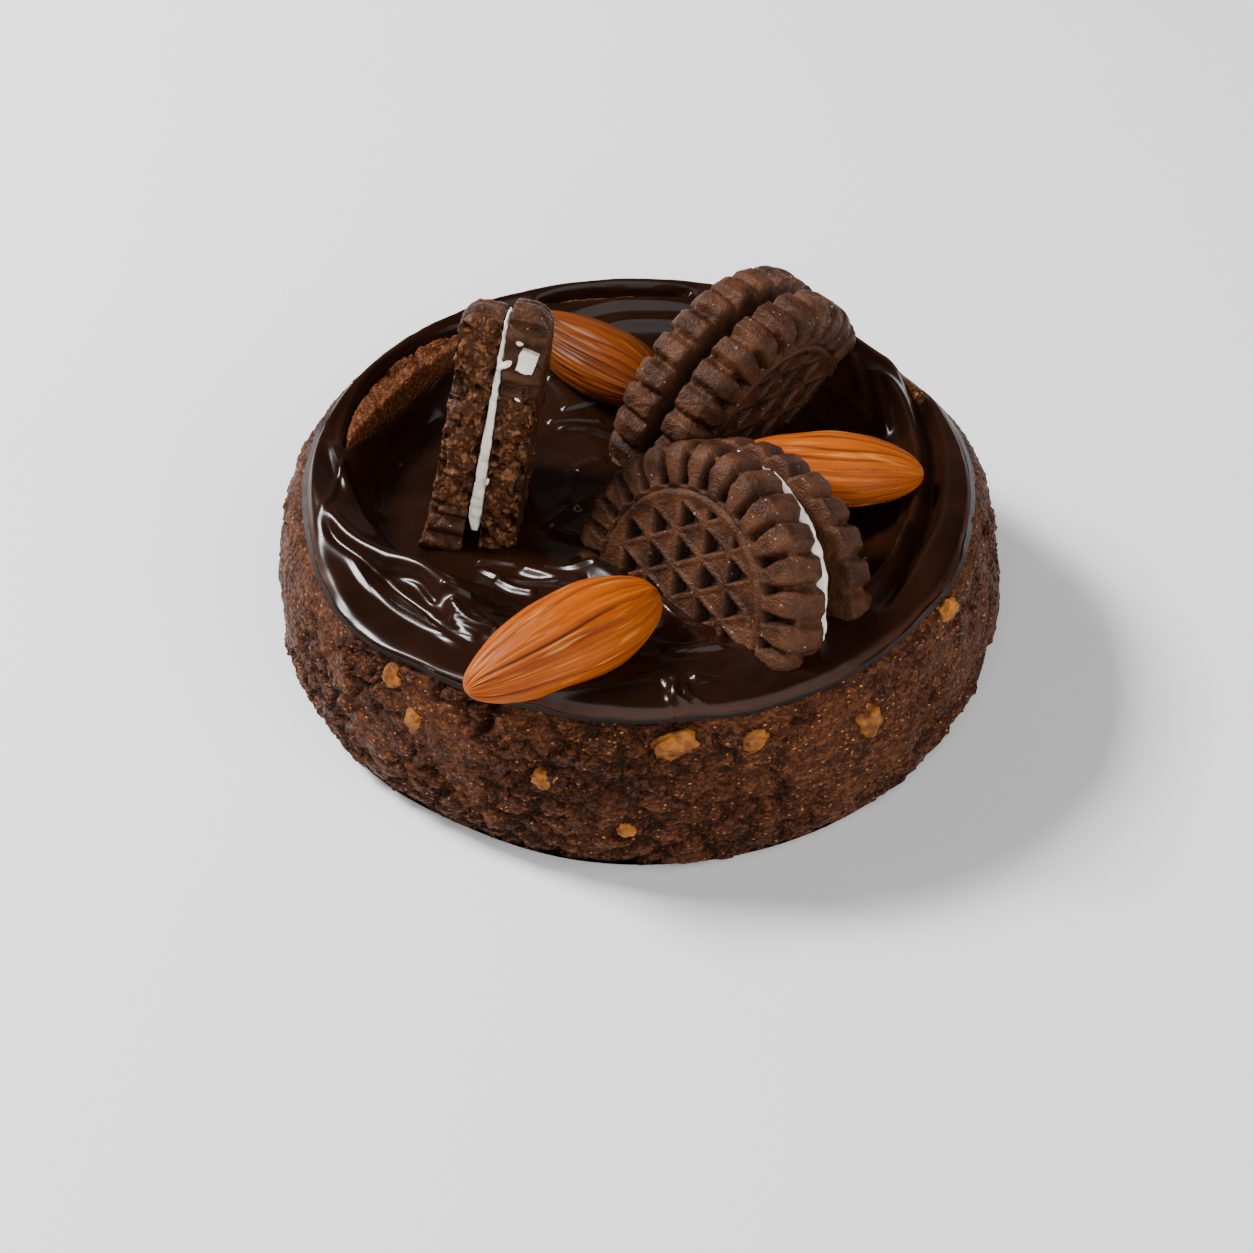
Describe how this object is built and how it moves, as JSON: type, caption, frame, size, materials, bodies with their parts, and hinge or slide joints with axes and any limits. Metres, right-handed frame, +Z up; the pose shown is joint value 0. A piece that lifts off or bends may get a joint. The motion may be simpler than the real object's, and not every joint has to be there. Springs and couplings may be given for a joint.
{
  "type": "chocolate cookie",
  "caption": "Thick round chocolate cookie with glossy ganache in its hollow top, topped with half sandwich biscuits and whole almonds.",
  "frame": {"origin": "centre of the flat underside, on the surface the cookie rests on", "axes": "+Z up, +Y away from the viewer of the picture, +X to the right"},
  "size_m": [0.0918, 0.093, 0.0522],
  "materials": {
    "cookie": "rough baked crumb",
    "ganache": "glossy, soft folds",
    "wafer": "matte baked biscuit",
    "cream": "satin cream",
    "almond": "wrinkled skin, low sheen"
  },
  "bodies": {
    "root": {"cookie_base": "cookie", "ganache": "ganache", "front_biscuit_near_wafer": "wafer", "front_biscuit_cream": "cream", "front_biscuit_far_wafer": "wafer", "back_biscuit_near_wafer": "wafer", "back_biscuit_cream": "cream", "back_biscuit_far_wafer": "wafer", "left_biscuit_near_wafer": "wafer", "left_biscuit_cream": "cream", "left_biscuit_far_wafer": "wafer", "front_almond": "almond", "back_almond": "almond", "right_almond": "almond"}
  },
  "joints": []
}
